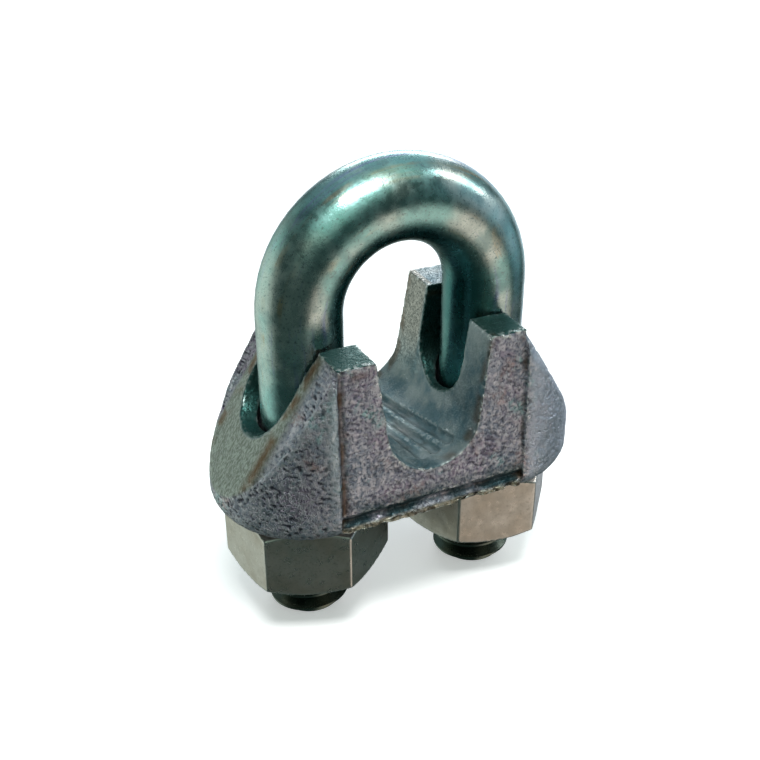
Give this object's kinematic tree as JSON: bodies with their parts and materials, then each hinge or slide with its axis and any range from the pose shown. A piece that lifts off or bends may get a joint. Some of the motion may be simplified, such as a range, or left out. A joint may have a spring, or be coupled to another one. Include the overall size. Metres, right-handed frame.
{
  "type": "wire rope clip",
  "caption": "U-bolt wire rope clip: a cast saddle with a rope channel, a threaded U-bolt and hex nuts that draw the two together.",
  "frame": {"origin": "on the axis of the rope seat, half way through the saddle", "axes": "+X from the left leg to the right leg, +Y along the rope, +Z towards the bow of the U-bolt"},
  "size_m": [0.0292, 0.0144, 0.0355],
  "materials": {
    "saddle": "rough malleable casting, zinc plated",
    "u_bolt": "bright zinc plated",
    "nuts": "semi-matte zinc plated"
  },
  "bodies": {
    "saddle": {"saddle": "saddle"},
    "u_bolt": {"u_bolt": "u_bolt"},
    "nut_left": {"nut_left": "nuts"},
    "nut_right": {"nut_right": "nuts"}
  },
  "joints": [
    {"name": "u_bolt_draw", "type": "slide", "parent": "saddle", "child": "u_bolt", "axis": [0, 0, 1], "range_m": [-0.00286, 0.00413]},
    {"name": "nut_left_turn", "type": "hinge", "parent": "saddle", "child": "nut_left", "pos_m": [-0.0074, 0, -0.0107], "axis": [0, 0, 1], "range_deg": [-1171, 811]},
    {"name": "nut_right_turn", "type": "hinge", "parent": "saddle", "child": "nut_right", "pos_m": [0.0074, 0, -0.0107], "axis": [0, 0, 1], "range_deg": [-1171, 811]}
  ],
  "couplings": [
    {"joint": "nut_left_turn", "follows": "u_bolt_draw", "rad_per_m": -4947.4},
    {"joint": "nut_right_turn", "follows": "u_bolt_draw", "rad_per_m": -4947.4}
  ]
}
